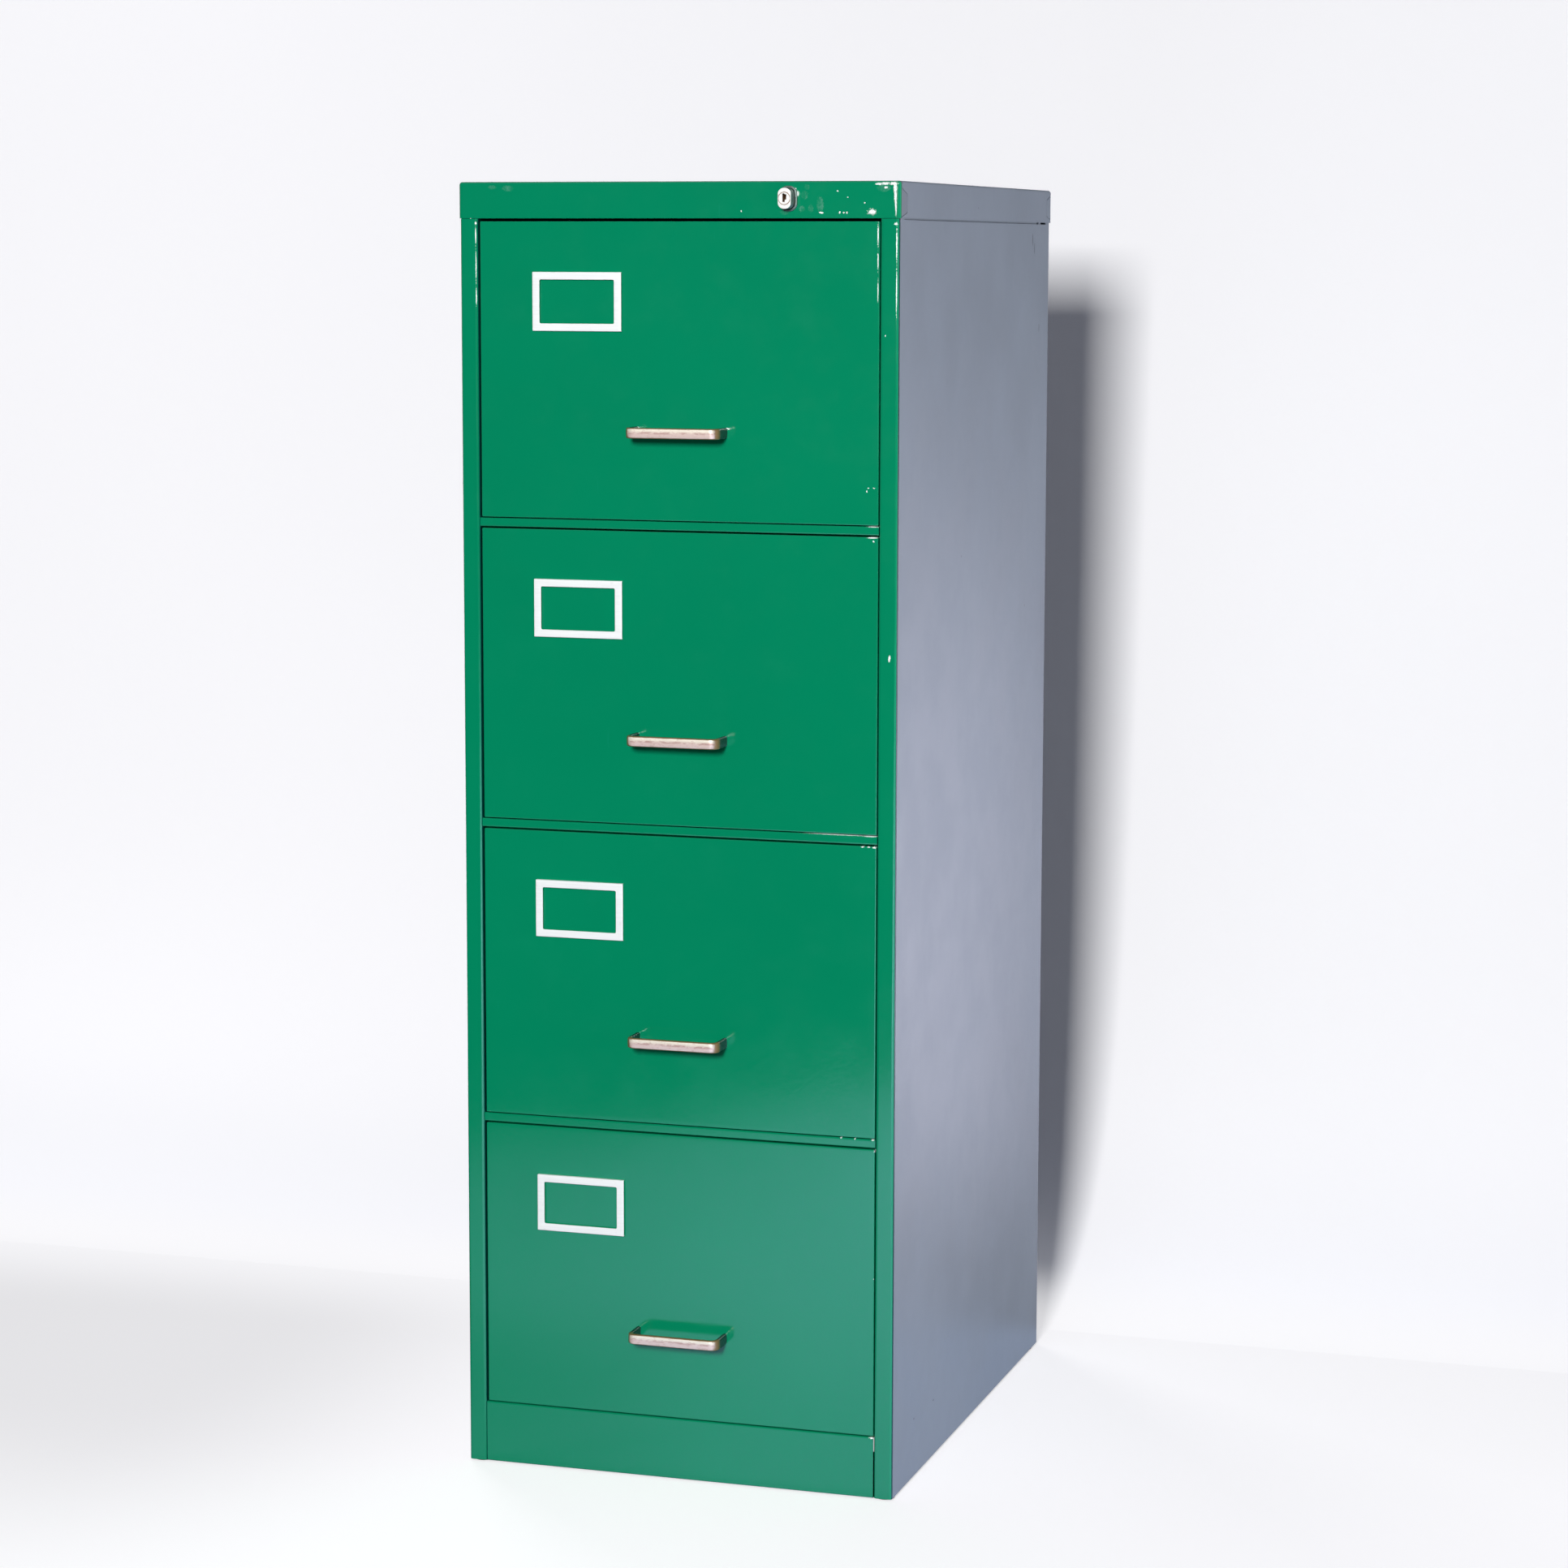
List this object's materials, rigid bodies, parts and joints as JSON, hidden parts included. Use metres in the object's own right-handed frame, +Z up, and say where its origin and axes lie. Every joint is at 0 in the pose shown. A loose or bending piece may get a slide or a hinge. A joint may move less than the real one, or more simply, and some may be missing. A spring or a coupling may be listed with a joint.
{
  "type": "steel filing cabinet",
  "caption": "Upright steel filing cabinet with full-width drawers on ball slides, bow handles, label frames and a push-in lock.",
  "frame": {"origin": "on the floor, at the middle of the bounding box's bottom face", "axes": "+Z up, -Y towards the drawer fronts, +X to the right as seen from the front"},
  "size_m": [0.4596, 0.6524, 1.321],
  "materials": {
    "green_paint": "gloss green stoving enamel, chipped at edges",
    "grey_paint": "satin blue-grey enamel",
    "zinc_steel": "bright zinc plated",
    "ball_steel": "polished steel balls in plated cages",
    "worn_nickel": "worn nickel plate",
    "bright_label_metal": "bright satin",
    "lock_plating": "worn chrome plate",
    "lock_core": "nickel-washed brass",
    "buffer_rubber": "black rubber",
    "foot_plastic": "brown glide plastic"
  },
  "bodies": {
    "cabinet": {"back_panel": "grey_paint", "base_frame": "zinc_steel", "cabinet_runners": "zinc_steel", "cap_fascia": "green_paint", "cross_rails": "green_paint", "foot_nuts": "zinc_steel", "front_post_left": "green_paint", "front_post_right": "green_paint", "levelling_feet": "foot_plastic", "lock_brackets": "zinc_steel", "lock_housing": "lock_plating", "plinth_panel": "green_paint", "rear_posts": "grey_paint", "runner_buffers": "buffer_rubber", "runner_screws": "zinc_steel", "side_panel_left": "grey_paint", "side_panel_right": "grey_paint", "top_cap": "grey_paint"},
    "drawer_1": {"drawer_front_1": "green_paint", "drawer_tray_1": "grey_paint", "drawer_runners_1": "zinc_steel", "drawer_catch_1": "zinc_steel", "handle_1": "worn_nickel", "handle_screws_1": "worn_nickel", "label_frame_1": "bright_label_metal"},
    "slide_1": {"slide_members_1": "zinc_steel", "ball_cages_1": "ball_steel"},
    "drawer_2": {"drawer_front_2": "green_paint", "drawer_tray_2": "grey_paint", "drawer_runners_2": "zinc_steel", "drawer_catch_2": "zinc_steel", "handle_2": "worn_nickel", "handle_screws_2": "worn_nickel", "label_frame_2": "bright_label_metal"},
    "slide_2": {"slide_members_2": "zinc_steel", "ball_cages_2": "ball_steel"},
    "drawer_3": {"drawer_front_3": "green_paint", "drawer_tray_3": "grey_paint", "drawer_runners_3": "zinc_steel", "drawer_catch_3": "zinc_steel", "handle_3": "worn_nickel", "handle_screws_3": "worn_nickel", "label_frame_3": "bright_label_metal"},
    "slide_3": {"slide_members_3": "zinc_steel", "ball_cages_3": "ball_steel"},
    "drawer_4": {"drawer_front_4": "green_paint", "drawer_tray_4": "grey_paint", "drawer_runners_4": "zinc_steel", "drawer_catch_4": "zinc_steel", "handle_4": "worn_nickel", "handle_screws_4": "worn_nickel", "label_frame_4": "bright_label_metal"},
    "slide_4": {"slide_members_4": "zinc_steel", "ball_cages_4": "ball_steel"},
    "lock_button": {"lock_plunger": "lock_plating"},
    "lock_core": {"lock_plug": "lock_core"},
    "lock_rocker": {"lock_shaft": "zinc_steel"},
    "lock_lift_bar": {"lock_bar": "zinc_steel", "lock_bar_spring": "zinc_steel"}
  },
  "joints": [
    {"name": "drawer_1_slide", "type": "slide", "parent": "cabinet", "child": "drawer_1", "axis": [0, -1, 0], "range_m": [0, 0.53]},
    {"name": "slide_1_travel", "type": "slide", "parent": "cabinet", "child": "slide_1", "axis": [0, -1, 0], "range_m": [0, 0.265]},
    {"name": "drawer_2_slide", "type": "slide", "parent": "cabinet", "child": "drawer_2", "axis": [0, -1, 0], "range_m": [0, 0.53]},
    {"name": "slide_2_travel", "type": "slide", "parent": "cabinet", "child": "slide_2", "axis": [0, -1, 0], "range_m": [0, 0.265]},
    {"name": "drawer_3_slide", "type": "slide", "parent": "cabinet", "child": "drawer_3", "axis": [0, -1, 0], "range_m": [0, 0.53]},
    {"name": "slide_3_travel", "type": "slide", "parent": "cabinet", "child": "slide_3", "axis": [0, -1, 0], "range_m": [0, 0.265]},
    {"name": "drawer_4_slide", "type": "slide", "parent": "cabinet", "child": "drawer_4", "axis": [0, -1, 0], "range_m": [0, 0.53]},
    {"name": "slide_4_travel", "type": "slide", "parent": "cabinet", "child": "slide_4", "axis": [0, -1, 0], "range_m": [0, 0.265]},
    {"name": "lock_push", "type": "slide", "parent": "cabinet", "child": "lock_button", "axis": [0, 1, 0], "range_m": [0, 0.01], "stiffness_N_per_m": 800, "springref_m": -0.006},
    {"name": "key_turn", "type": "hinge", "parent": "lock_button", "child": "lock_core", "pos_m": [0.1163, -0.30925, 1.304], "axis": [0, 1, 0], "range_deg": [0, 90]},
    {"name": "rocker_turn", "type": "hinge", "parent": "cabinet", "child": "lock_rocker", "pos_m": [0.1163, -0.23625, 1.291], "axis": [-1, 0, 0], "range_deg": [0, 45.24]},
    {"name": "bar_lift", "type": "slide", "parent": "cabinet", "child": "lock_lift_bar", "axis": [0, 0, 1], "range_m": [0, 0.00846], "deforming": ["lock_bar_spring"]}
  ],
  "couplings": [
    {"joint": "slide_1_travel", "follows": "drawer_1_slide", "ratio": 0.5},
    {"joint": "slide_2_travel", "follows": "drawer_2_slide", "ratio": 0.5},
    {"joint": "slide_3_travel", "follows": "drawer_3_slide", "ratio": 0.5},
    {"joint": "slide_4_travel", "follows": "drawer_4_slide", "ratio": 0.5},
    {"joint": "rocker_turn", "follows": "lock_push", "rad_per_m": 78.957},
    {"joint": "bar_lift", "follows": "lock_push", "ratio": 0.84612}
  ]
}
